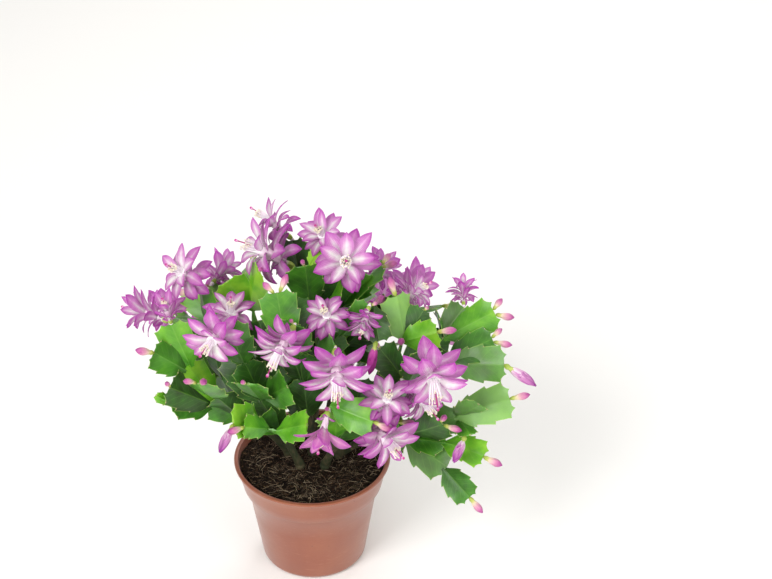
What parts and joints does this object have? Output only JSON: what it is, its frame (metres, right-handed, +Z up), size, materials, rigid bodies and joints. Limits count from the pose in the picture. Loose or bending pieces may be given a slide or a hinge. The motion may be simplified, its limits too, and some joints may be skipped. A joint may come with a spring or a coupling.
{
  "type": "potted christmas cactus",
  "caption": "Flowering Christmas cactus: arching chains of flat toothed green stem segments with lilac tubular blooms and buds, rooted in soil in a round tapered nursery pot.",
  "frame": {"origin": "centre of the pot's flat underside", "axes": "+Z up, -Y towards the front, +X to the right as seen from the front"},
  "size_m": [0.3063, 0.2623, 0.2919],
  "materials": {
    "pot_plastic": "satin",
    "potting_soil": "matte",
    "stem_skin": "satin",
    "petal_skin": "satin"
  },
  "bodies": {
    "root": {"pot": "pot_plastic", "soil": "potting_soil", "cutting_left": "stem_skin", "cutting_frontLeft": "stem_skin", "cutting_centre": "stem_skin", "cutting_frontRight": "stem_skin", "cutting_right": "stem_skin", "cutting_rightUpper": "stem_skin", "cutting_top": "stem_skin", "cutting_backLeft": "stem_skin", "cutting_backRight": "stem_skin", "bloom_01": "petal_skin", "bloom_02": "petal_skin", "bloom_03": "petal_skin", "bloom_04": "petal_skin", "bloom_05": "petal_skin", "bloom_06": "petal_skin", "bloom_07": "petal_skin", "bloom_08": "petal_skin", "bloom_09": "petal_skin", "bloom_10": "petal_skin", "bloom_11": "petal_skin", "bloom_12": "petal_skin", "bloom_13": "petal_skin", "bloom_14": "petal_skin", "bloom_15": "petal_skin", "bloom_16": "petal_skin", "bloom_17": "petal_skin", "bloom_18": "petal_skin", "bloom_19": "petal_skin", "bloom_20": "petal_skin", "bloom_21": "petal_skin", "bloom_22": "petal_skin", "bloom_23": "petal_skin", "bloom_24": "petal_skin", "bloom_25": "petal_skin", "bloom_26": "petal_skin", "bloom_27": "petal_skin"}
  },
  "joints": []
}
